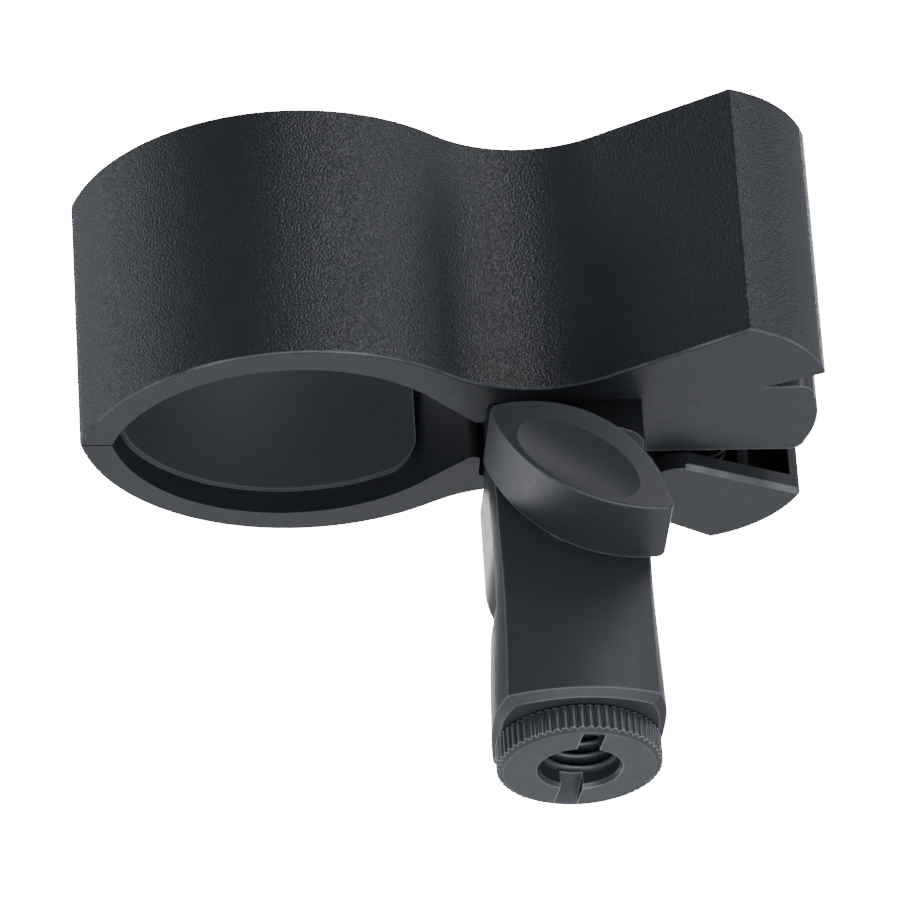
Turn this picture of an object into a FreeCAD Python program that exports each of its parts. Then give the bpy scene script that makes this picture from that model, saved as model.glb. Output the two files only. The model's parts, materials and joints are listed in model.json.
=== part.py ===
import FreeCAD, Part
import math
import os

from FreeCAD import Vector

# Spring-loaded microphone clamp on a swivel stem, with a stand-thread adapter.
# Units are millimetres.  +Z runs up along the stand thread, +X points to the two
# finger handles, -Y to the clamping knob.  The origin is the centre of the
# adapter's lower face, where the stand's threaded stud enters.

# ---- driving dimensions -----------------------------------------------------
# thread adapter: 5/8"-27 outside, 3/8"-16 inside, with a knurled coin-slot flange
FLANGE_R, FLANGE_H = 9.85, 3.3
FLANGE_FACE_R, RIM_CHAMFER_H = 9.05, 0.5         # flat lower face inside a smooth cone
KNURLS, KNURL_DEPTH = 60, 0.42
ADAPTER_BODY_R, ADAPTER_TOP_Z = 7.94, 13.4
STAND_BORE_R = 4.7625               # half of 3/8"
BORE_MOUTH_R, BORE_MOUTH_DEPTH = 5.1, 0.5
COIN_SLOT_WIDTH, COIN_SLOT_DEPTH = 2.7, 2.8
COIN_SLOT_CUTTER_R = 15.0           # the slot's floor rises along this disc to the face's edge
COIN_SLOT_TURN_DEG = 7.0
INSERT_R = 8.9                      # brass insert moulded into the stem

# stem: a column with a gently arched front and a rounded back, which ends in the
# two ears of a clevis
STEM_FRONT_Y, STEM_REAR_Y = -12.0, 12.0
STEM_WIDEST_Y, STEM_SHOULDER_Y = -4.0, 6.5
STEM_FOOT_Z, STEM_FOOT_CHAMFER = 3.6, 0.9
# height, half width of the front, greatest half width, half width at the rear
# shoulder, and Y of the front's side edges, which fall back towards the foot
STEM_SECTIONS = (
    (STEM_FOOT_Z + STEM_FOOT_CHAMFER, 9.0, 10.2, 9.5, -10.1),
    (9.0, 8.85, 10.05, 9.3, -10.5),
    (14.0, 8.75, 9.75, 9.1, -11.1),
    (19.0, 8.75, 9.4, 8.7, -11.6),
    (24.0, 8.85, 9.15, 8.3, -11.85),
    (32.0, 9.0, 9.15, 7.7, -11.93),
    (42.5, 9.2, 9.25, 6.9, -11.95),
)
SOCKET_TOP_Z = 14.0
EAR_INNER_Y = 7.9
EAR_CROWN = 12.4                    # top of the ears above the swivel axis
EAR_CROWN_R = 22.0
EAR_TOP_HALF, EAR_CORNER_R = 9.25, 2.6
CLEVIS_FLOOR_Z = 17.4

# swivel joint between stem and clamp
SWIVEL_Z = 28.0
LUG_R, LUG_HALF = 9.0, 7.4
NECK_RIGHT_X = 9.9
DISC_R = 8.6                        # friction discs beside the lug
SCREW_R, SCREW_HOLE_R = 3.0, 3.06   # M6
HEAD_FLATS, HEAD_THICK, HEAD_DEPTH = 7.2, 3.5, 9.0      # hexagonal head inside the knob
NUT_FLATS, NUT_THICK = 10.0, 3.2
NUT_BOSS_R = 7.2
NUT_SEAT_Y = 8.75

# clamping knob: a lens-shaped bar turned off the vertical
KNOB_LENGTH, KNOB_TIP_R = 24.5, 0.75
KNOB_UPPER, KNOB_LOWER = 5.45, 4.95   # bulge of the two arched sides
KNOB_FRONT_Y, KNOB_REAR_Y = -26.0, -13.7
KNOB_CROWN_R = 80.0                 # the front face is crowned along the knob's length
KNOB_EDGE_R = 0.35
KNOB_HUB_R, KNOB_HUB_Y = 4.0, -12.65
KNOB_TURN_DEG = 33.5
DISH_HALF_LENGTH, DISH_HALF_WIDTH, DISH_DEPTH, DISH_DROP = 8.0, 3.7, 0.58, 0.8
WASHER_R, WASHER_THICK = 4.2, 0.6

# clamp body and jaws
JAW_BOTTOM_Z, JAW_WIDTH = 45.0, 34.0
BODY_RECESS = 2.4                   # clamp body stands this far inside the jaws' ends
BODY_HALF = 7.4
BODY_LEFT_X, BODY_NOSE_X = -8.2, 31.9
HINGE_WINDOW = (-6.2, 9.0)          # where the jaws' knuckles sit, in X
DECK = 3.0                          # thickness of the body's two decks
HINGE_X, HINGE_Y = 5.0, 5.0
HINGE_PIN_R, KNUCKLE_BORE_R, KNUCKLE_R = 1.25, 1.31, 2.55

BULB_X, BULB_Y, BULB_R = -30.8, -6.05, 27.2      # outer curve of the rear jaw's mouth
GRIP_X, GRIP_Y, GRIP_R = -31.8, -5.3, 22.3       # inner curve of the rear jaw's mouth
GRIP_END_X = -14.5                               # where the inner curve runs off straight
WAIST_R, WAIST_Y = 16.3, 11.7
FLANK_FOOT = (4.9, 14.2)            # where the handle's straight outer side begins
APEX = (21.1, 24.8)
TIP = (31.2, 14.4)
HANDLE_BEND = (27.0, 21.2)          # on the rounded end between apex and tip
JAW_PARTING = 0.12                  # half the gap between the closed jaws
NOSE_X, NOSE_Y = -8.8, 2.9
FLANK_Y = 8.7                       # inner side of the jaws beside the clamp body
CHEEK_HOOK = (16.8, 7.5)
WALL, CHEEK, TIP_WALL = 2.2, 2.2, 1.2
RIB_THICK, RIB_REACH = 1.3, 4.5     # rib across the handle beyond the springs
APEX_R, RIM_R, CHEEK_BEVEL = 0.4, 0.35, 0.6      # softened edges of the jaws
LINING_THICK, LINING_INSET_Z = 0.8, 3.0
LINING_SPAN_X = (-53.4, -16.0)

# jaw springs: two per jaw, between the clamp body and the handle
SPRING_X = 19.5
SPRING_LEVELS = (8.4, 25.6)         # above the jaws' lower end
SPRING_R, WIRE_R, SPRING_TURNS = 3.3, 0.45, 8
SPRING_BORE_R, SPRING_WEB = 4.7, 1.2
SEAT_PAD, SEAT_POST_R, SEAT_POST_REACH = 1.4, 2.5, 4.0

JAW_TOP_Z = JAW_BOTTOM_Z + JAW_WIDTH
BODY_BOTTOM_Z, BODY_TOP_Z = JAW_BOTTOM_Z + BODY_RECESS, JAW_TOP_Z - BODY_RECESS

X_AXIS, Y_AXIS, Z_AXIS = Vector(1, 0, 0), Vector(0, 1, 0), Vector(0, 0, 1)
SWIVEL = Vector(0, 0, SWIVEL_Z)


# ---- helpers ----------------------------------------------------------------
def box(x, y, z):
    """A box from three (low, high) pairs."""
    return Part.makeBox(x[1] - x[0], y[1] - y[0], z[1] - z[0], Vector(x[0], y[0], z[0]))


def rod_z(r, z0, z1, x=0.0, y=0.0):
    return Part.makeCylinder(r, z1 - z0, Vector(x, y, z0), Z_AXIS)


def rod_y(r, y0, y1, x=0.0, z=SWIVEL_Z):
    return Part.makeCylinder(r, y1 - y0, Vector(x, y0, z), Y_AXIS)


def line(a, b):
    return Part.LineSegment(a, b).toShape()


def arc(a, via, b):
    return Part.Arc(a, via, b).toShape()


def prism(edges, sweep):
    """A solid from a closed run of edges, pushed along sweep."""
    return Part.Face(Part.Wire(edges)).extrude(sweep)


def on_circle(cx, cy, r, x):
    """Upper height of a circle at x."""
    return cy + math.sqrt(r * r - (x - cx) ** 2)


def mirrored(shape):
    """The same piece on the other side of the clamp."""
    return shape.mirror(Vector(0, 0, 0), Y_AXIS)


def vertical_edges(shape, x, y, reach=0.2):
    """Edges parallel to Z that stand at (x, y)."""
    return [e for e in shape.Edges
            if all(math.hypot(v.X - x, v.Y - y) < reach for v in e.Vertexes)
            and e.BoundBox.ZLength > 0.5]


# ---- thread adapter and its brass insert --------------------------------------
def knurled_disc():
    """Disc with rounded ridges on its rim."""
    step = math.pi / KNURLS

    def rim_point(i, r):
        return Vector(r * math.cos(i * step), r * math.sin(i * step), 0)

    valley = FLANGE_R - KNURL_DEPTH
    ridges = [arc(rim_point(i - 1, valley), rim_point(i, FLANGE_R), rim_point(i + 1, valley))
              for i in range(1, 2 * KNURLS, 2)]
    return prism(ridges, Vector(0, 0, FLANGE_H))


def thread_adapter():
    outer = FLANGE_R + 0.1
    envelope = Part.makeCone(FLANGE_FACE_R, outer, RIM_CHAMFER_H, Vector(0, 0, 0), Z_AXIS)
    envelope = envelope.fuse(rod_z(outer, RIM_CHAMFER_H, FLANGE_H))
    shape = knurled_disc().common(envelope).fuse(rod_z(ADAPTER_BODY_R, FLANGE_H, ADAPTER_TOP_Z))
    shape = shape.cut(rod_z(STAND_BORE_R, -1, ADAPTER_TOP_Z + 1))
    shape = shape.cut(Part.makeCone(BORE_MOUTH_R, STAND_BORE_R, BORE_MOUTH_DEPTH,
                                    Vector(0, 0, 0), Z_AXIS))
    cutter = Part.makeCylinder(COIN_SLOT_CUTTER_R, COIN_SLOT_WIDTH,
                               Vector(-COIN_SLOT_WIDTH / 2, 0, COIN_SLOT_DEPTH - COIN_SLOT_CUTTER_R),
                               X_AXIS)
    cutter.rotate(Vector(0, 0, 0), Z_AXIS, COIN_SLOT_TURN_DEG)
    return shape.cut(cutter)


def thread_insert():
    """Brass ring with the 5/8" thread that takes the adapter; the flange seats on its end."""
    ring = rod_z(INSERT_R, FLANGE_H + 0.02, ADAPTER_TOP_Z)
    groove = rod_z(INSERT_R + 1, 8.0, 9.2).cut(rod_z(INSERT_R - 0.4, 7.5, 10.0))
    return ring.cut(groove).cut(rod_z(ADAPTER_BODY_R + 0.03, 0, ADAPTER_TOP_Z + 1))


# ---- stem ---------------------------------------------------------------------
def stem_section(z, front_half, widest_half, shoulder_half, edge_y, inset=0.0):
    """Closed wire: arched front, cheeks that swell, shoulders and one rounded back."""
    edge_y, front, rear = edge_y + inset, STEM_FRONT_Y + inset, STEM_REAR_Y - inset
    f, w, s = front_half - inset, widest_half - inset, shoulder_half - inset
    cheek = Vector((f + w) / 2 + 0.3, (edge_y + STEM_WIDEST_Y) / 2, z)
    flank = Vector((w + s) / 2 + 0.25, (STEM_WIDEST_Y + STEM_SHOULDER_Y) / 2, z)
    corner, widest = Vector(f, edge_y, z), Vector(w, STEM_WIDEST_Y, z)
    shoulder = Vector(s, STEM_SHOULDER_Y, z)

    def left(v):
        return Vector(-v.x, v.y, v.z)

    return Part.Wire([
        arc(left(corner), Vector(0, front, z), corner),
        arc(corner, cheek, widest),
        arc(widest, flank, shoulder),
        arc(shoulder, Vector(0, rear, z), left(shoulder)),
        arc(left(shoulder), left(flank), left(widest)),
        arc(left(widest), left(cheek), left(corner)),
    ])


def ear_outline():
    """Front view of the stem: open sides below, an arched crown with round corners."""
    half, crown = EAR_TOP_HALF, SWIVEL_Z + EAR_CROWN
    drop = EAR_CROWN_R - math.sqrt(EAR_CROWN_R ** 2 - half ** 2)
    y = STEM_FRONT_Y - 2
    sides = ((12.0, 0), (12.0, CLEVIS_FLOOR_Z - 5), (half + 0.6, SWIVEL_Z), (half, crown - drop))
    right = [Vector(x, y, z) for x, z in sides]
    left = [Vector(-v.x, y, v.z) for v in reversed(right)]
    edges = [line(a, b) for a, b in zip(right, right[1:])]
    edges.append(arc(right[-1], Vector(0, y, crown), left[0]))
    edges += [line(a, b) for a, b in zip(left, left[1:])]
    edges.append(line(left[-1], right[0]))
    shape = prism(edges, Vector(0, 28, 0))
    corners = [e for e in shape.Edges if e.BoundBox.YLength > 20
               and abs(e.Vertexes[0].Z - (crown - drop)) < 0.01]
    return shape.makeFillet(EAR_CORNER_R, corners)


def hexagon(flats, y0, y1):
    """Hexagonal prism about the swivel axis."""
    r = flats / math.sqrt(3)
    ring = [Vector(r * math.cos(math.radians(60 * i)), y0,
                   SWIVEL_Z + r * math.sin(math.radians(60 * i))) for i in range(7)]
    return Part.Face(Part.makePolygon(ring)).extrude(Vector(0, y1 - y0, 0))


def stem():
    column = Part.makeLoft([stem_section(*row) for row in STEM_SECTIONS], True)
    foot = STEM_SECTIONS[0]
    bevel = Part.makeLoft([stem_section(STEM_FOOT_Z, *foot[1:], inset=STEM_FOOT_CHAMFER),
                           stem_section(*foot)], True)
    shape = column.fuse(bevel).common(ear_outline())
    shape = shape.common(box((-20, 20), (STEM_FRONT_Y, STEM_REAR_Y + 1), (0, 60)))
    shape = shape.fuse(rod_y(NUT_BOSS_R, EAR_INNER_Y, STEM_REAR_Y))
    shape = shape.cut(rod_z(INSERT_R + 0.02, 0, SOCKET_TOP_Z))
    shape = shape.cut(box((-20, 20), (-EAR_INNER_Y, EAR_INNER_Y), (CLEVIS_FLOOR_Z, 60)))
    shape = shape.cut(rod_y(SCREW_HOLE_R, -20, 20))
    return shape.cut(hexagon(NUT_FLATS + 0.15, NUT_SEAT_Y, STEM_REAR_Y + 5))


# ---- swivel hardware ------------------------------------------------------------
def friction_disc():
    """Fibre disc in the rear gap between lug and ear."""
    gap = 0.02
    disc = rod_y(DISC_R, LUG_HALF + gap, EAR_INNER_Y - gap)
    return disc.cut(rod_y(SCREW_HOLE_R, -20, 20))


def hex_nut():
    nut = hexagon(NUT_FLATS, NUT_SEAT_Y + 0.02, NUT_SEAT_Y + NUT_THICK)
    dome = Part.makeSphere(8.2, Vector(0, NUT_SEAT_Y + NUT_THICK - 6.4, SWIVEL_Z))
    return nut.common(dome).cut(rod_y(SCREW_HOLE_R, -20, 20))


def screw_blank(end_y):
    """Rod with the hexagonal head that the knob is moulded around."""
    head_y = KNOB_REAR_Y - HEAD_DEPTH
    return rod_y(SCREW_R, head_y, end_y).fuse(hexagon(HEAD_FLATS, head_y, head_y + HEAD_THICK))


def knob_screw():
    """Threaded rod moulded into the knob; its free end stays inside the nut."""
    end_y = NUT_SEAT_Y + NUT_THICK - 0.3
    rod = screw_blank(end_y)
    tip = [e for e in rod.Edges if abs(e.BoundBox.YMax - end_y) < 1e-4
           and e.BoundBox.YLength < 1e-4 and e.BoundBox.XLength > 5]
    return rod.makeChamfer(0.5, tip)


def knob_washer():
    gap = 0.02
    disc = rod_y(WASHER_R, STEM_FRONT_Y - WASHER_THICK, STEM_FRONT_Y - gap)
    return disc.cut(rod_y(SCREW_R + 0.06, -20, 20))


def lens(y0, y1):
    """Bar with two arched sides and small blunt tips, along X, about the swivel axis."""
    a, t = KNOB_LENGTH / 2, KNOB_TIP_R
    right, left = Vector(a, y0, SWIVEL_Z), Vector(-a, y0, SWIVEL_Z)
    corner = [Vector(s * (a - 0.4 * t), y0, SWIVEL_Z + h * t) for s, h in
              ((1, 1), (-1, 1), (-1, -1), (1, -1))]
    top, low = Vector(0, y0, SWIVEL_Z + KNOB_UPPER), Vector(0, y0, SWIVEL_Z - KNOB_LOWER)
    edges = [arc(corner[0], top, corner[1]), arc(corner[1], left, corner[2]),
             arc(corner[2], low, corner[3]), arc(corner[3], right, corner[0])]
    return prism(edges, Vector(0, y1 - y0, 0))


def dish():
    """Long shallow hollow for the knob's front, part of a barrel that lies along X."""
    width, depth = DISH_HALF_WIDTH, DISH_DEPTH
    # the barrel runs on past the hollow's ends, because the crowned face falls away there
    half = DISH_HALF_LENGTH / math.sqrt(1 - DISH_HALF_LENGTH ** 2 / (2 * KNOB_CROWN_R * depth))
    radius = (width ** 2 + depth ** 2) / (2 * depth)       # barrel, at its middle
    centre = Vector(0, KNOB_FRONT_Y + depth - radius, SWIVEL_Z - DISH_DROP)
    rim = radius - depth                                    # barrel, where the hollow ends
    a, b = centre + Vector(-half, rim, 0), centre + Vector(half, rim, 0)
    foot_a, foot_b = centre + Vector(-half, 0, 0), centre + Vector(half, 0, 0)
    profile = [arc(a, centre + Vector(0, radius, 0), b), line(b, foot_b), line(foot_b, foot_a),
               line(foot_a, a)]
    return Part.Face(Part.Wire(profile)).revolve(centre, X_AXIS, 360)


def knob():
    crown = Part.makeCylinder(KNOB_CROWN_R, 60, Vector(0, KNOB_FRONT_Y + KNOB_CROWN_R, 0), Z_AXIS)
    shape = lens(KNOB_FRONT_Y - 1, KNOB_REAR_Y).common(crown)
    front = [e for e in shape.Edges if e.BoundBox.YMax < KNOB_FRONT_Y + 1.5]
    shape = shape.makeFillet(KNOB_EDGE_R, front)
    shape = shape.cut(dish())
    shape = shape.fuse(rod_y(KNOB_HUB_R, KNOB_REAR_Y - 0.5, KNOB_HUB_Y))
    shape.rotate(SWIVEL, Y_AXIS, KNOB_TURN_DEG)
    return shape.cut(screw_blank(0.0))


# ---- clamp body -----------------------------------------------------------------
def body_outline():
    """Plan of the clamp body: straight sides, a gently rounded nose."""
    x0, x1, h = BODY_LEFT_X, BODY_NOSE_X, BODY_HALF
    z, r, sag = BODY_BOTTOM_Z, 2.0, 0.9
    a, b = Vector(x0, -h, z), Vector(x1 - sag - r, -h, z)
    c, d = Vector(x1 - sag, r - h, z), Vector(x1 - sag, h - r, z)
    e, f = Vector(x1 - sag - r, h, z), Vector(x0, h, z)
    k = r * (1 - math.sqrt(0.5))
    return [line(a, b), arc(b, Vector(c.x - k, -h + k, z), c), arc(c, Vector(x1, 0, z), d),
            arc(d, Vector(c.x - k, h - k, z), e), line(e, f), line(f, a)]


def centre_body():
    height = BODY_TOP_Z - BODY_BOTTOM_Z
    shape = prism(body_outline(), Vector(0, 0, height))
    # window that holds the jaws' knuckles
    shape = shape.cut(box(HINGE_WINDOW, (-20, 20), (BODY_BOTTOM_Z + DECK, BODY_TOP_Z - DECK)))
    # neck, which narrows on the mouth side to clear the jaws, and swivel lug
    top = BODY_BOTTOM_Z + DECK
    side = [(-LUG_R, SWIVEL_Z), (LUG_R, SWIVEL_Z), (NECK_RIGHT_X, JAW_BOTTOM_Z - 8.0),
            (NECK_RIGHT_X, top), (BODY_LEFT_X, top), (BODY_LEFT_X, JAW_BOTTOM_Z - 1.5),
            (-LUG_R, JAW_BOTTOM_Z - 6.0), (-LUG_R, SWIVEL_Z)]
    neck = Part.Face(Part.makePolygon([Vector(x, -LUG_HALF, z) for x, z in side]))
    neck = neck.extrude(Vector(0, 2 * LUG_HALF, 0))
    shape = shape.fuse(neck).fuse(rod_y(LUG_R, -LUG_HALF, LUG_HALF))
    shape = shape.cut(rod_y(SCREW_HOLE_R, -20, 20))
    for side in (-1, 1):
        pin_hole = rod_z(HINGE_PIN_R + 0.01, BODY_BOTTOM_Z + 0.9, BODY_TOP_Z + 1,
                         HINGE_X, side * HINGE_Y)
        shape = shape.cut(pin_hole)
        for level in SPRING_LEVELS:
            y = sorted((side * SPRING_WEB, side * 20))
            shape = shape.cut(rod_y(SPRING_BORE_R, y[0], y[1], SPRING_X, JAW_BOTTOM_Z + level))
        mid = JAW_BOTTOM_Z + JAW_WIDTH / 2
        y = sorted((side * SPRING_WEB, side * 20))
        shape = shape.cut(box((13.5, 27.0), y, (mid - 2.6, mid + 2.6)))
    return shape


def hinge_pin():
    pin = rod_z(HINGE_PIN_R, BODY_BOTTOM_Z + 0.92, BODY_TOP_Z, HINGE_X, HINGE_Y)
    ends = [e for e in pin.Edges if e.BoundBox.ZLength < 1e-4]
    return pin.makeChamfer(0.25, ends)


# ---- jaws -------------------------------------------------------------------------
def waist_centre():
    """Centre of the hollow waist curve, which meets the bulb smoothly."""
    cy = WAIST_Y + WAIST_R
    reach = BULB_R + WAIST_R
    return BULB_X + math.sqrt(reach ** 2 - (cy - BULB_Y) ** 2), cy


def tangent_from(px, py, cx, cy, r):
    """Lower-side point where a line from (px, py) touches a circle."""
    dx, dy = px - cx, py - cy
    dist = math.hypot(dx, dy)
    a = math.atan2(dy, dx) - math.acos(r / dist)
    return cx + r * math.cos(a), cy + r * math.sin(a)


def outer_wave(z):
    """Edges of the rear jaw's outer side, from the mouth to the handle's apex."""
    mouth_x = BULB_X - math.sqrt(BULB_R ** 2 - (JAW_PARTING - BULB_Y) ** 2)
    wx, wy = waist_centre()
    t = BULB_R / (BULB_R + WAIST_R)
    join = (BULB_X + t * (wx - BULB_X), BULB_Y + t * (wy - BULB_Y))
    foot = tangent_from(APEX[0], APEX[1], wx, wy, WAIST_R)
    mid_x = (join[0] + foot[0]) / 2
    mouth = Vector(mouth_x, JAW_PARTING, z)
    crest = Vector(BULB_X, BULB_Y + BULB_R, z)
    joint = Vector(join[0], join[1], z)
    foot = Vector(foot[0], foot[1], z)
    waist = Vector(mid_x, wy - math.sqrt(WAIST_R ** 2 - (mid_x - wx) ** 2), z)
    return [arc(mouth, crest, joint), arc(joint, waist, foot), line(foot, Vector(*APEX, z))]


def jaw_outline(z):
    """Closed plan of the rear jaw, handle included."""
    wave = outer_wave(z)
    mouth = Vector(BULB_X - math.sqrt(BULB_R ** 2 - (JAW_PARTING - BULB_Y) ** 2), JAW_PARTING, z)
    apex, tip = Vector(*APEX, z), Vector(*TIP, z)
    lip = Vector(GRIP_X - math.sqrt(GRIP_R ** 2 - (JAW_PARTING - GRIP_Y) ** 2), JAW_PARTING, z)
    crest = Vector(GRIP_X, GRIP_Y + GRIP_R, z)
    grip_end = Vector(GRIP_END_X, on_circle(GRIP_X, GRIP_Y, GRIP_R, GRIP_END_X), z)
    nose, flank = Vector(NOSE_X, NOSE_Y, z), Vector(NOSE_X, FLANK_Y, z)
    heel, hook = Vector(12.6, FLANK_Y + 0.6, z), Vector(*CHEEK_HOOK, z)
    inner_tip = Vector(TIP[0] - 0.5, TIP[1] - 0.7, z)
    return wave + [
        arc(apex, Vector(*HANDLE_BEND, z), tip), line(tip, inner_tip), line(inner_tip, hook),
        arc(hook, Vector(15.0, 7.75, z), heel), line(heel, flank), line(flank, nose),
        line(nose, grip_end), arc(grip_end, crest, lip), line(lip, mouth)]


def wall_inside(x):
    """Y of the inner side of the handle's straight wall at x."""
    slope = math.atan2(APEX[1] - FLANK_FOOT[1], APEX[0] - FLANK_FOOT[0])
    return APEX[1] - WALL / math.cos(slope) - (APEX[0] - x) * math.tan(slope)


def handle_hollow():
    """Space inside the handle, between its two end cheeks."""
    z0, z1 = JAW_BOTTOM_Z + CHEEK, JAW_TOP_Z - CHEEK
    x0, x1 = 10.0, APEX[0] - 0.6
    a, b = Vector(x0, wall_inside(x0), z0), Vector(x1, wall_inside(x1), z0)
    c = Vector(TIP[0] - TIP_WALL, TIP[1] - 0.9, z0)
    d, e = Vector(c.x, 3.0, z0), Vector(x0, 3.0, z0)
    bend = Vector(HANDLE_BEND[0] - 1.0, HANDLE_BEND[1] - 1.3, z0)
    return prism([line(a, b), arc(b, bend, c), line(c, d), line(d, e), line(e, a)],
                 Vector(0, 0, z1 - z0))


def rim_edges(shape):
    """Edges between the jaw's two end faces and its outer side."""
    found = []
    for edge in shape.Edges:
        b = edge.BoundBox
        mid = edge.valueAt((edge.FirstParameter + edge.LastParameter) / 2)
        on_grip = abs(math.hypot(mid.x - GRIP_X, mid.y - GRIP_Y) - GRIP_R) < 0.1
        if b.ZLength < 1e-4 and b.XLength > 0.2 and mid.y > 11.0 and b.XMin < 30 and not on_grip:
            if not (b.YMin < 10 and b.XMin > 15):
                found.append(edge)
    return found


def cheek_bevel(z, inward):
    """Wedge that bevels a handle cheek's inner edge, from its hook to its tip."""
    hook, tip = Vector(*CHEEK_HOOK, z), Vector(TIP[0] - 0.5, TIP[1] - 0.7, z)
    along = (tip - hook).normalize()
    across = Vector(-along.y, along.x, 0)
    up, e = Vector(0, 0, inward), 0.1
    start = hook - along * 0.3 - across * e - up * e
    corners = [start, start + across * (CHEEK_BEVEL + 2 * e), start + up * (CHEEK_BEVEL + 2 * e)]
    edges = [line(corners[i - 1], corners[i]) for i in range(3)]
    return prism(edges, along * (tip.distanceToPoint(hook) + 1.0))


def jaw():
    height = Vector(0, 0, JAW_WIDTH)
    blank = prism(jaw_outline(JAW_BOTTOM_Z), height)
    nose = vertical_edges(blank, NOSE_X, NOSE_Y) + vertical_edges(blank, NOSE_X, FLANK_Y)
    blank = blank.makeFillet(0.8, nose)
    blank = blank.makeFillet(APEX_R, vertical_edges(blank, *APEX))
    blank = blank.makeFillet(RIM_R, rim_edges(blank))
    blank = blank.cut(cheek_bevel(JAW_BOTTOM_Z, 1)).cut(cheek_bevel(JAW_TOP_Z, -1))
    solid = blank.cut(handle_hollow())
    z0, z1 = BODY_BOTTOM_Z + DECK + 0.25, BODY_TOP_Z - DECK - 0.25
    # knuckle around the hinge pin, with its web to the jaw's side
    knuckle = rod_z(KNUCKLE_R, z0, z1, HINGE_X, HINGE_Y)
    web = box((HINGE_X - 2.3, HINGE_X + 2.3), (HINGE_Y, FLANK_Y + 1.5), (z0, z1))
    solid = solid.fuse(knuckle).fuse(web)
    solid = solid.cut(rod_z(KNUCKLE_BORE_R, 0, 100, HINGE_X, HINGE_Y))
    # posts that locate the springs, on flat pads inside the handle's wall, and
    # a rib across the handle beyond the springs
    far = wall_inside(SPRING_X)
    rib_x = SPRING_X + SPRING_R + WIRE_R + 0.9
    inner = box((rib_x, rib_x + RIB_THICK), (far - RIB_REACH, APEX[1]),
                (JAW_BOTTOM_Z + 0.5, JAW_TOP_Z - 0.5))
    for level in SPRING_LEVELS:
        z = JAW_BOTTOM_Z + level
        inner = inner.fuse(rod_y(SPRING_R + WIRE_R + 0.5, far - SEAT_PAD, APEX[1], SPRING_X, z))
        inner = inner.fuse(rod_y(SEAT_POST_R, far - SEAT_POST_REACH, far, SPRING_X, z))
    return solid.fuse(inner.common(blank)).removeSplitter()


def jaw_lining():
    """Soft lining of one jaw: a curved strip with rounded corners."""
    gap = 0.02
    outer_r, inner_r = GRIP_R - gap, GRIP_R - LINING_THICK
    z0, z1 = JAW_BOTTOM_Z + LINING_INSET_Z, JAW_TOP_Z - LINING_INSET_Z
    ring = rod_z(outer_r, z0, z1, GRIP_X, GRIP_Y).cut(rod_z(inner_r, z0 - 1, z1 + 1, GRIP_X, GRIP_Y))
    window = box(LINING_SPAN_X, (0.6, 40), (z0, z1))
    corners = [e for e in window.Edges if e.BoundBox.YLength > 30]
    return ring.common(window.makeFillet(3.0, corners))


def spring(level):
    """Compression spring between the body's web and the rear handle."""
    y0 = SPRING_WEB + 0.1
    length = wall_inside(SPRING_X) - SEAT_PAD - 0.1 - y0 - 2 * WIRE_R
    coil = Part.makeHelix(length / SPRING_TURNS, length, SPRING_R)
    section = Part.Wire(Part.makeCircle(WIRE_R, Vector(SPRING_R, 0, 0), Y_AXIS))
    sweep = Part.BRepOffsetAPI.MakePipeShell(Part.Wire(coil))
    sweep.setFrenetMode(True)
    sweep.add(section)
    sweep.build()
    sweep.makeSolid()
    shape = sweep.shape()
    shape.rotate(Vector(0, 0, 0), X_AXIS, -90)
    shape.translate(Vector(SPRING_X, y0 + WIRE_R, JAW_BOTTOM_Z + level))
    return shape


# ---- write the pieces ---------------------------------------------------------------
def pieces():
    disc = friction_disc()
    rear_jaw, rear_lining, rear_pin = jaw(), jaw_lining(), hinge_pin()
    lower, upper = (spring(level) for level in SPRING_LEVELS)
    return {
        "thread_adapter": thread_adapter(),
        "thread_insert": thread_insert(),
        "stem": stem(),
        "front_friction_disc": mirrored(disc),
        "rear_friction_disc": disc,
        "hex_nut": hex_nut(),
        "knob": knob(),
        "knob_screw": knob_screw(),
        "knob_washer": knob_washer(),
        "centre_body": centre_body(),
        "front_hinge_pin": mirrored(rear_pin),
        "rear_hinge_pin": rear_pin,
        "front_jaw": mirrored(rear_jaw),
        "rear_jaw": rear_jaw,
        "front_jaw_lining": mirrored(rear_lining),
        "rear_jaw_lining": rear_lining,
        "front_lower_spring": mirrored(lower),
        "front_upper_spring": mirrored(upper),
        "rear_lower_spring": lower,
        "rear_upper_spring": upper,
    }


os.makedirs("parts", exist_ok=True)
for name, shape in pieces().items():
    if not shape.isValid() or len(shape.Solids) != 1:
        print(name, "valid", shape.isValid(), "solids", len(shape.Solids))
    shape.exportStep("parts/" + name + ".step")
    b = shape.BoundBox
    print("%-20s X %6.1f %6.1f  Y %6.1f %6.1f  Z %6.1f %6.1f" %
          (name, b.XMin, b.XMax, b.YMin, b.YMax, b.ZMin, b.ZMax))
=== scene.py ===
import json
import math

import bpy
import bmesh
from mathutils import Matrix, Vector


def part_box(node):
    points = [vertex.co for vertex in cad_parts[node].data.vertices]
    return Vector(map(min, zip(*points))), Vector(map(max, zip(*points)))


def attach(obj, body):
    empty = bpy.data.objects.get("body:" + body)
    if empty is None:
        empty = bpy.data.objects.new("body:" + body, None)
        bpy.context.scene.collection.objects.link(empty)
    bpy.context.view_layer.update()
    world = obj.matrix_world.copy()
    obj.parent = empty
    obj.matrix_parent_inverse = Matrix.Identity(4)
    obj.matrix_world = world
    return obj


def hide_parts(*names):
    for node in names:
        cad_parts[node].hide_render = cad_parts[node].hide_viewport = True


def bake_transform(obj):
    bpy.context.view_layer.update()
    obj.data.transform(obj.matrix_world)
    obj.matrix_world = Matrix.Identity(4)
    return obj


# Looks of a spring-loaded microphone clamp on a swivel stem.  Metres, in the CAD frame:
# +Z up along the stand thread, +X towards the handles, -Y towards the locking knob.

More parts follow.
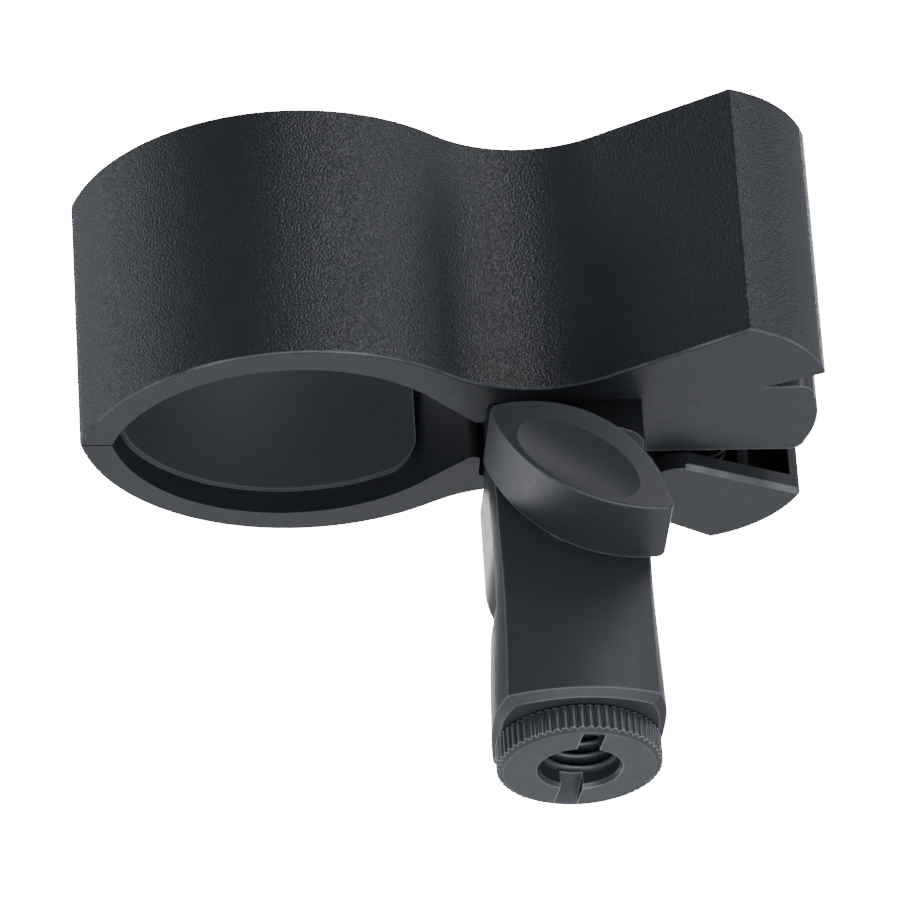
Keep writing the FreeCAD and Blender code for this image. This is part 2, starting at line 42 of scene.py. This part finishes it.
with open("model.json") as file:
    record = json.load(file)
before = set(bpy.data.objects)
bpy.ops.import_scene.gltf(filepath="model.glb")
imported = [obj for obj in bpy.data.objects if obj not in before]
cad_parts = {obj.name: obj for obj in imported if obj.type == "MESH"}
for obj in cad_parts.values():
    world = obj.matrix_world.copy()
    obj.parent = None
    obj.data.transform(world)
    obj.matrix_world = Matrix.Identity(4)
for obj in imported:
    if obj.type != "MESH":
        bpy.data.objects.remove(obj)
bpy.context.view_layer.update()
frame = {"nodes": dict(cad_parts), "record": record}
nodes = frame["nodes"]

MM = 0.001
NOISE_LOW, NOISE_HIGH = 0.3, 0.7      # where nearly all of a noise texture's values lie


# ---- material building blocks ----------------------------------------------------
class Nodes:
    """A material's node tree, with short calls for the nodes used here."""

    def __init__(self, name, base, roughness, metallic=0.0):
        self.material = bpy.data.materials.new(name)
        self.material.use_nodes = True
        self.tree = self.material.node_tree
        self.shader = self.tree.nodes["Principled BSDF"]
        self.set("Base Color", (*base, 1.0))
        self.set("Roughness", roughness)
        self.set("Metallic", metallic)
        self.place = self.add("ShaderNodeTexCoord").outputs["Object"]

    def set(self, socket, value):
        self.shader.inputs[socket].default_value = value

    def add(self, kind, **settings):
        node = self.tree.nodes.new(kind)
        for key, value in settings.items():
            setattr(node, key, value)
        return node

    def link(self, a, b):
        self.tree.links.new(a, b)

    def math(self, operation, a, b=None):
        node = self.add("ShaderNodeMath", operation=operation)
        for socket, value in zip(node.inputs, (a, b)):
            if value is None:
                continue
            if isinstance(value, (int, float)):
                socket.default_value = value
            else:
                self.link(value, socket)
        return node.outputs[0]

    def scaled(self, factors):
        """Object position in metres, multiplied per axis."""
        node = self.add("ShaderNodeVectorMath", operation="MULTIPLY")
        self.link(self.place, node.inputs[0])
        node.inputs[1].default_value = factors
        return node.outputs[0]

    def noise(self, size_mm, detail=3.0, roughness=0.5, stretch=(1, 1, 1)):
        """Noise whose blobs are about size_mm across, 0 to 1."""
        node = self.add("ShaderNodeTexNoise")
        node.inputs["Scale"].default_value = 1.0
        node.inputs["Detail"].default_value = detail
        node.inputs["Roughness"].default_value = roughness
        k = 1.0 / (size_mm * MM)
        self.link(self.scaled([k / s for s in stretch]), node.inputs["Vector"])
        return node.outputs["Fac"]

    def cells(self, size_mm):
        """Distance to the middle of the nearest cell, for cells about size_mm across."""
        node = self.add("ShaderNodeTexVoronoi", feature="F1")
        node.inputs["Scale"].default_value = 1.0
        k = 1.0 / (size_mm * MM)
        self.link(self.scaled((k, k, k)), node.inputs["Vector"])
        return node.outputs["Distance"]

    def remap(self, value, low, high, to_low, to_high):
        node = self.add("ShaderNodeMapRange")
        node.clamp = True
        for socket, v in zip(("From Min", "From Max", "To Min", "To Max"),
                             (low, high, to_low, to_high)):
            node.inputs[socket].default_value = v
        self.link(value, node.inputs["Value"])
        return node.outputs["Result"]

    def vary(self, noise, low, high):
        """A noise spread over the range low to high."""
        return self.remap(noise, NOISE_LOW, NOISE_HIGH, low, high)

    def mix_color(self, factor, a, b):
        node = self.add("ShaderNodeMix", data_type="RGBA")
        self.link(factor, node.inputs["Factor"])
        for socket, value in ((node.inputs["A"], a), (node.inputs["B"], b)):
            if isinstance(value, tuple):
                socket.default_value = (*value, 1.0)
            else:
                self.link(value, socket)
        return node.outputs["Result"]

    def bump(self, height, depth_mm, strength=1.0, under=None):
        node = self.add("ShaderNodeBump")
        node.inputs["Strength"].default_value = strength
        node.inputs["Distance"].default_value = depth_mm * MM
        self.link(height, node.inputs["Height"])
        if under is not None:
            self.link(under, node.inputs["Normal"])
        return node.outputs["Normal"]

    def edges(self, radius_mm):
        """1 on sharp outer edges, 0 on flats, from the difference to a bevelled normal."""
        bevel = self.add("ShaderNodeBevel", samples=4)
        bevel.inputs["Radius"].default_value = radius_mm * MM
        plain = self.add("ShaderNodeNewGeometry").outputs["Normal"]
        dot = self.add("ShaderNodeVectorMath", operation="DOT_PRODUCT")
        self.link(bevel.outputs["Normal"], dot.inputs[0])
        self.link(plain, dot.inputs[1])
        return self.remap(dot.outputs["Value"], 0.75, 1.0, 1.0, 0.0)

    def normal(self, axis):
        """The surface normal along one axis of the object, -1 to 1."""
        split = self.add("ShaderNodeSeparateXYZ")
        self.link(self.add("ShaderNodeTexCoord").outputs["Normal"], split.inputs[0])
        return split.outputs[axis]

    def position(self, axis):
        """The place on the object along one axis, in metres."""
        split = self.add("ShaderNodeSeparateXYZ")
        self.link(self.place, split.inputs[0])
        return split.outputs[axis]


DUST = (0.35, 0.35, 0.35)
DUST_SIZE = 0.045                     # share of a cell that a speck covers
DUSTY_FROM, DUSTY_TO = 0.60, 0.66     # noise values where dust starts and is full


def specks(m, color, spacing_mm=1.9):
    """Mixes in a few pale dust specks over a colour."""
    dust = m.remap(m.cells(spacing_mm), 0.0, DUST_SIZE, 1.0, 0.0)
    chance = m.remap(m.noise(5.0, 1.0), DUSTY_FROM, DUSTY_TO, 0.0, 1.0)
    return m.mix_color(m.math("MULTIPLY", dust, chance), color, DUST)


def times(color, k):
    """A colour with each channel multiplied by k."""
    return tuple(c * k for c in color)


def shades(m, base, size_mm, spread=0.18):
    """The base colour with soft lighter and darker areas."""
    return m.mix_color(m.noise(size_mm, 4.0), times(base, 1 - spread), times(base, 1 + spread))


def satin_plastic(name, base=(0.022, 0.024, 0.028), roughness=0.42):
    """Smooth moulded plastic: faint waviness, fine tooth, and edges painted much lighter, a painted
    highlight that partly stands for edge wear.
    """
    m = Nodes(name, base, roughness)
    # painted highlight: edges get up to eight times the base colour, partly edge wear
    tone_and_edge_highlight = m.mix_color(m.edges(0.4), shades(m, base, 9.0), times(base, 8.0))
    m.link(specks(m, tone_and_edge_highlight), m.shader.inputs["Base Color"])
    m.link(m.vary(m.noise(1.6, 5.0, 0.6), roughness - 0.03, roughness + 0.04),
           m.shader.inputs["Roughness"])
    tooth = m.bump(m.noise(0.16, 3.0), 0.010, 0.35)
    m.link(m.bump(m.noise(7.0, 2.0), 0.03, 0.2, tooth), m.shader.inputs["Normal"])
    return m.material


def grained_plastic(name, base=(0.019, 0.021, 0.0245)):
    """Jaw moulding: pebbled leather grain on the outer sides, smooth satin elsewhere."""
    m = Nodes(name, base, 0.42)
    tipped = m.math("ABSOLUTE", m.normal("Z"))
    upright = m.remap(tipped, 0.08, 0.30, 1.0, 0.0)
    outward = m.remap(m.math("MULTIPLY", m.normal("Y"), m.math("SIGN", m.position("Y"))),
                      -0.05, 0.05, 0.0, 1.0)
    sides = m.math("MULTIPLY", upright, outward)
    pebbles = m.cells(0.28)
    fine = m.noise(0.19, 2.0, 0.6)
    grain = m.math("ADD", m.math("MULTIPLY", pebbles, -1.0), m.math("MULTIPLY", fine, 0.6))
    # painted highlight: tilted fillets and bevels (the rim) get a five times lighter colour, broken
    # up by noise
    rim = m.math("MULTIPLY", m.remap(tipped, 0.10, 0.35, 0.0, 1.0),
                 m.remap(tipped, 0.80, 0.95, 1.0, 0.0))
    rim_highlight = m.math("MULTIPLY", rim, m.remap(m.noise(4.0, 3.0), 0.35, 0.65, 0.2, 1.0))
    tone_and_edge_highlight = m.mix_color(rim_highlight, shades(m, base, 8.0), times(base, 5.0))
    m.link(specks(m, tone_and_edge_highlight), m.shader.inputs["Base Color"])
    rough_side = m.vary(fine, 0.35, 0.28)
    rough_end = m.vary(m.noise(1.5, 5.0, 0.6), 0.38, 0.44)
    mix = m.add("ShaderNodeMix", data_type="FLOAT")
    m.link(sides, mix.inputs["Factor"])
    m.link(rough_end, mix.inputs["A"])
    m.link(rough_side, mix.inputs["B"])
    m.link(mix.outputs["Result"], m.shader.inputs["Roughness"])
    tooth = m.bump(m.noise(0.15, 3.0), 0.008, 0.3)
    m.link(m.bump(m.math("MULTIPLY", grain, sides), 0.12, 0.66, tooth), m.shader.inputs["Normal"])
    return m.material


def rubber(name, base=(0.048, 0.051, 0.057)):
    """Matt lining with a fine all-over grain."""
    m = Nodes(name, base, 0.62)
    fine = m.noise(0.3, 4.0, 0.65)
    tone = m.mix_color(fine, times(base, 0.75), times(base, 1.5))
    # painted highlight: edges get three times the base colour, partly edge wear
    tone_and_edge_highlight = m.mix_color(m.edges(0.35), tone, times(base, 3.0))
    m.link(specks(m, tone_and_edge_highlight, 1.4), m.shader.inputs["Base Color"])
    m.link(m.vary(fine, 0.52, 0.74), m.shader.inputs["Roughness"])
    m.link(m.bump(fine, 0.06, 0.7), m.shader.inputs["Normal"])
    return m.material


def coated_metal(name, base=(0.050, 0.055, 0.062)):
    """Black coated adapter with its edges painted much lighter: a painted highlight, partly the coat
    rubbed thin.
    """
    m = Nodes(name, base, 0.34, metallic=0.35)
    # painted highlight on the edges, partly the coat rubbed thin
    edge_highlight_and_rub = (0.40, 0.42, 0.45)
    m.link(m.mix_color(m.edges(0.25), shades(m, base, 3.0, 0.22), edge_highlight_and_rub),
           m.shader.inputs["Base Color"])
    m.link(m.vary(m.noise(0.8, 5.0, 0.6), 0.27, 0.42), m.shader.inputs["Roughness"])
    m.link(m.bump(m.noise(0.25, 3.0), 0.012, 0.4), m.shader.inputs["Normal"])
    return m.material


def bare_metal(name, base, roughness, stretch=(1, 1, 1)):
    """Plated or drawn metal with fine scratches along one direction."""
    m = Nodes(name, base, roughness, metallic=1.0)
    lines = m.noise(0.3, 4.0, 0.6, stretch)
    m.link(m.mix_color(lines, times(base, 0.8), base), m.shader.inputs["Base Color"])
    m.link(m.vary(lines, roughness - 0.08, roughness + 0.12), m.shader.inputs["Roughness"])
    m.link(m.bump(lines, 0.01, 0.4), m.shader.inputs["Normal"])
    return m.material


def fibre(name, base=(0.06, 0.052, 0.045)):
    """Matt pressed fibre with flecks."""
    m = Nodes(name, base, 0.75)
    flecks = m.noise(0.5, 5.0, 0.7)
    m.link(m.mix_color(flecks, times(base, 0.6), times(base, 1.5)), m.shader.inputs["Base Color"])
    m.link(m.vary(flecks, 0.65, 0.85), m.shader.inputs["Roughness"])
    m.link(m.bump(flecks, 0.05, 0.6), m.shader.inputs["Normal"])
    return m.material


MATERIALS = {
    "grained_plastic": grained_plastic("grained_plastic"),
    "satin_plastic": satin_plastic("satin_plastic"),
    "lining_rubber": rubber("lining_rubber"),
    "black_adapter": coated_metal("black_adapter"),
    "brass": bare_metal("brass", (0.72, 0.50, 0.20), 0.30, (6, 6, 1)),
    "zinc_steel": bare_metal("zinc_steel", (0.60, 0.61, 0.63), 0.28, (1, 5, 1)),
    "spring_steel": bare_metal("spring_steel", (0.12, 0.125, 0.13), 0.34, (4, 1, 1)),
    "black_fibre": fibre("black_fibre"),
}


def paint(obj, slot):
    obj.data.materials.clear()
    obj.data.materials.append(MATERIALS[slot])


for part in frame["record"]["subparts"]:
    paint(nodes[part["node"]], part["material_slot"])

# the stem's moulding is a little paler and duller than the knob's
nodes["stem"].data.materials[0] = satin_plastic("stem_plastic", (0.029, 0.031, 0.036), 0.52)


# ---- pieces made here ----------------------------------------------------------------
def mesh_object(name, bm, slot):
    mesh = bpy.data.meshes.new(name)
    bm.normal_update()
    bm.to_mesh(mesh)
    bm.free()
    for polygon in mesh.polygons:
        polygon.use_smooth = True
    obj = bpy.data.objects.new(name, mesh)
    bpy.context.scene.collection.objects.link(obj)
    paint(obj, slot)
    return obj


def tube(path, radius, sides=12):
    """A closed-end round tube along a list of points."""
    bm = bmesh.new()
    rings = []
    for i, p in enumerate(path):
        ahead = path[min(i + 1, len(path) - 1)] - path[max(i - 1, 0)]
        out = Vector((p.x - path[0].x, 0, p.z - path[0].z))
        out = ahead.orthogonal() if out.length < 1e-7 else out
        u = ahead.cross(out).normalized()
        v = ahead.cross(u).normalized()
        rings.append([bm.verts.new(p + radius * (math.cos(a) * u + math.sin(a) * v))
                      for a in (2 * math.pi * k / sides for k in range(sides))])
    for a, b in zip(rings, rings[1:]):
        for k in range(sides):
            bm.faces.new((a[k], a[(k + 1) % sides], b[(k + 1) % sides], b[k]))
    bm.faces.new(list(reversed(rings[0])))
    bm.faces.new(rings[-1])
    bmesh.ops.recalc_face_normals(bm, faces=bm.faces)
    return bm


WIRE_R = 0.45 * MM
SPRING_TURNS = 8
FLAT_TURNS = 1.0          # closed coil at each end
FLAT_COIL_PITCH = 1.02    # in wire thicknesses
STEPS_PER_TURN = 28


def jaw_spring(node):
    """Coil spring with a closed coil at each end, in place of one CAD spring node."""
    low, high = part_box(node)
    centre = (low + high) / 2
    coil_r = (high.z - low.z) / 2 - WIRE_R
    side = 1 if centre.y > 0 else -1
    near, far = sorted((low.y, high.y), key=abs)
    y0, y1 = near + side * WIRE_R, far - side * WIRE_R
    turns = SPRING_TURNS + 2 * FLAT_TURNS
    rise_end = 2 * WIRE_R * FLAT_TURNS * FLAT_COIL_PITCH
    points = []
    for i in range(int(turns * STEPS_PER_TURN) + 1):
        t = i / STEPS_PER_TURN
        if t < FLAT_TURNS:
            rise = t / FLAT_TURNS * rise_end
        elif t > turns - FLAT_TURNS:
            rise = abs(y1 - y0) - (turns - t) / FLAT_TURNS * rise_end
        else:
            share = (t - FLAT_TURNS) / SPRING_TURNS
            rise = rise_end + share * (abs(y1 - y0) - 2 * rise_end)
        a = 2 * math.pi * t
        points.append(Vector((centre.x + coil_r * math.cos(a), y0 + side * rise,
                              centre.z + coil_r * math.sin(a))))
    obj = mesh_object(node + "_coil", tube(points, WIRE_R), "spring_steel")
    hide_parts(node)
    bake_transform(obj)


for side in ("front", "rear"):
    for level in ("lower", "upper"):
        jaw_spring(f"{side}_{level}_spring")


THREAD_PITCH = 25.4 / 16 * MM       # 3/8"-16
THREAD_ROOT_R, THREAD_CREST_R = 4.79 * MM, 4.15 * MM
THREAD_HALF_ROOT, THREAD_HALF_CREST = 0.66 * MM, 0.06 * MM
THREAD_START, THREAD_TOP = 1.9 * MM, 12.6 * MM      # heights of the ridge's middle
THREAD_START_ANGLE = math.radians(-66)
THREAD_FADE_TURNS = 0.12
THREAD_STEPS = 56                                   # per turn
COIN_SLOT_HALF, COIN_SLOT_FLOOR = 1.35 * MM, 2.25 * MM
COIN_SLOT_TURN = math.radians(7)


def thread_ridge():
    """Screw-thread ridge inside the adapter's bore, cut away where the coin slot crosses it."""
    low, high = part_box("thread_adapter")
    axis_x, axis_y = (low.x + high.x) / 2, (low.y + high.y) / 2
    count = int((THREAD_TOP - THREAD_START) / THREAD_PITCH * THREAD_STEPS)
    bm = bmesh.new()
    rings = []
    for i in range(count + 1):
        turn = i / THREAD_STEPS
        a = THREAD_START_ANGLE + 2 * math.pi * turn
        z = THREAD_START + THREAD_PITCH * turn
        turns_left = (count - i + 1) / THREAD_STEPS
        grown = min(1.0, (turn + 0.01) / THREAD_FADE_TURNS, turns_left / THREAD_FADE_TURNS)
        crest = THREAD_ROOT_R + (THREAD_CREST_R - THREAD_ROOT_R) * grown
        corners = ((THREAD_ROOT_R, -THREAD_HALF_ROOT), (crest, -THREAD_HALF_CREST),
                   (crest, THREAD_HALF_CREST), (THREAD_ROOT_R, THREAD_HALF_ROOT))
        over_slot = abs(crest * math.cos(a - COIN_SLOT_TURN)) < COIN_SLOT_HALF
        rings.append([bm.verts.new((axis_x + r * math.cos(a), axis_y + r * math.sin(a),
                                    max(z + dz, COIN_SLOT_FLOOR) if over_slot else z + dz))
                      for r, dz in corners])
    for a, b in zip(rings, rings[1:]):
        for k in range(4):
            bm.faces.new((a[k], a[(k + 1) % 4], b[(k + 1) % 4], b[k]))
    bm.faces.new(rings[0])
    bm.faces.new(rings[-1])
    bmesh.ops.recalc_face_normals(bm, faces=bm.faces)
    obj = mesh_object("stand_thread_ridge", bm, "black_adapter")
    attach(obj, "stand_base")


thread_ridge()


# ---- light, floor and camera ---------------------------------------------------------
def soft_box(name, position, target, size, power, color=(1, 1, 1)):
    lamp = bpy.data.lights.new(name, "AREA")
    lamp.shape = "RECTANGLE"
    lamp.size, lamp.size_y = size
    lamp.energy = power
    lamp.color = color
    obj = bpy.data.objects.new(name, lamp)
    bpy.context.scene.collection.objects.link(obj)
    obj.location = position
    aim = Vector(target) - Vector(position)
    obj.rotation_euler = aim.to_track_quat("-Z", "Y").to_euler()


def floor(z, half):
    """Pale square floor at height z, reaching half to each side of the middle."""
    bm = bmesh.new()
    corners = [bm.verts.new((x * half, y * half, z)) for x, y in ((-1, -1), (1, -1), (1, 1), (-1, 1))]
    bm.faces.new(corners)
    mesh = bpy.data.meshes.new("floor")
    bm.to_mesh(mesh)
    bm.free()
    obj = bpy.data.objects.new("floor", mesh)
    bpy.context.scene.collection.objects.link(obj)
    m = Nodes("floor", (0.82, 0.82, 0.81), 0.7)
    tone = m.mix_color(m.noise(120.0, 3.0), (0.80, 0.80, 0.79), (0.84, 0.84, 0.83))
    m.link(tone, m.shader.inputs["Base Color"])
    obj.data.materials.append(m.material)


WORLD_TINT = (0.86, 0.93, 1.05, 1)
WORLD_FRONT_Y, WORLD_BACK_Y = -0.60, 0.45           # where the surround is dimmest and brightest


def studio_world(seen, front, back):
    """A surround that is white to the camera, bright behind the object and dim in front."""
    world = bpy.data.worlds.new("studio")
    bpy.context.scene.world = world
    world.use_nodes = True
    tree = world.node_tree
    lit, out = tree.nodes["Background"], tree.nodes["World Output"]
    shown = tree.nodes.new("ShaderNodeBackground")
    shown.inputs["Color"].default_value = (1, 1, 1, 1)
    shown.inputs["Strength"].default_value = seen
    lit.inputs["Color"].default_value = WORLD_TINT
    split = tree.nodes.new("ShaderNodeSeparateXYZ")
    tree.links.new(tree.nodes.new("ShaderNodeTexCoord").outputs["Generated"], split.inputs[0])
    ramp = tree.nodes.new("ShaderNodeMapRange")
    for socket, value in zip(("From Min", "From Max", "To Min", "To Max"),
                             (WORLD_FRONT_Y, WORLD_BACK_Y, front, back)):
        ramp.inputs[socket].default_value = value
    tree.links.new(split.outputs["Y"], ramp.inputs["Value"])
    tree.links.new(ramp.outputs["Result"], lit.inputs["Strength"])
    path = tree.nodes.new("ShaderNodeLightPath")
    mix = tree.nodes.new("ShaderNodeMixShader")
    tree.links.new(path.outputs["Is Camera Ray"], mix.inputs["Fac"])
    tree.links.new(lit.outputs[0], mix.inputs[1])
    tree.links.new(shown.outputs[0], mix.inputs[2])
    tree.links.new(mix.outputs[0], out.inputs["Surface"])


def camera(azimuth, elevation, roll, target, distance, lens):
    """Looks along the direction given by azimuth (0 = +Y) and elevation (up is positive)."""
    a, e, r = (math.radians(v) for v in (azimuth, elevation, roll))
    ahead = Vector((math.sin(a) * math.cos(e), math.cos(a) * math.cos(e), math.sin(e)))
    right = Vector((math.cos(a), -math.sin(a), 0))
    up = right.cross(ahead)
    right, up = (math.cos(r) * right + math.sin(r) * up, -math.sin(r) * right + math.cos(r) * up)
    cam = bpy.data.cameras.new("camera")
    cam.lens = lens
    cam.clip_end = 100
    obj = bpy.data.objects.new("camera", cam)
    bpy.context.scene.collection.objects.link(obj)
    place = Vector(target) - distance * ahead
    obj.matrix_world = Matrix.Translation(place) @ Matrix((right, up, -ahead)).transposed().to_4x4()
    bpy.context.scene.camera = obj


AIM = Vector((-12.70, 1.64, 44.59)) * MM
MIDDLE = (0, 0, 0.04)                               # what the soft boxes point at
COOL = (0.93, 0.97, 1.0)

camera(azimuth=5.69, elevation=30.02, roll=-3.73, target=AIM, distance=0.9277, lens=308.0)
floor(z=-0.75, half=6.0)
studio_world(seen=25.0, front=0.17, back=0.45)
soft_box("key_box", (0.62, -1.08, 0.72), MIDDLE, (0.5, 0.9), 7.4)
soft_box("left_box", (-1.25, 0.20, 0.72), MIDDLE, (0.9, 0.8), 3.5, COOL)
soft_box("side_box", (1.25, -0.15, 0.35), MIDDLE, (0.5, 0.8), 3.0)
soft_box("back_box", (0.2, 2.2, 1.2), (0.0, 1.7, -0.75), (1.6, 1.0), 36.0)
soft_box("low_box", (0.05, -0.42, -0.64), MIDDLE, (1.2, 0.4), 6.0, COOL)
soft_box("edge_box", (-0.85, 1.0, -0.16), MIDDLE, (0.9, 0.6), 2.8)
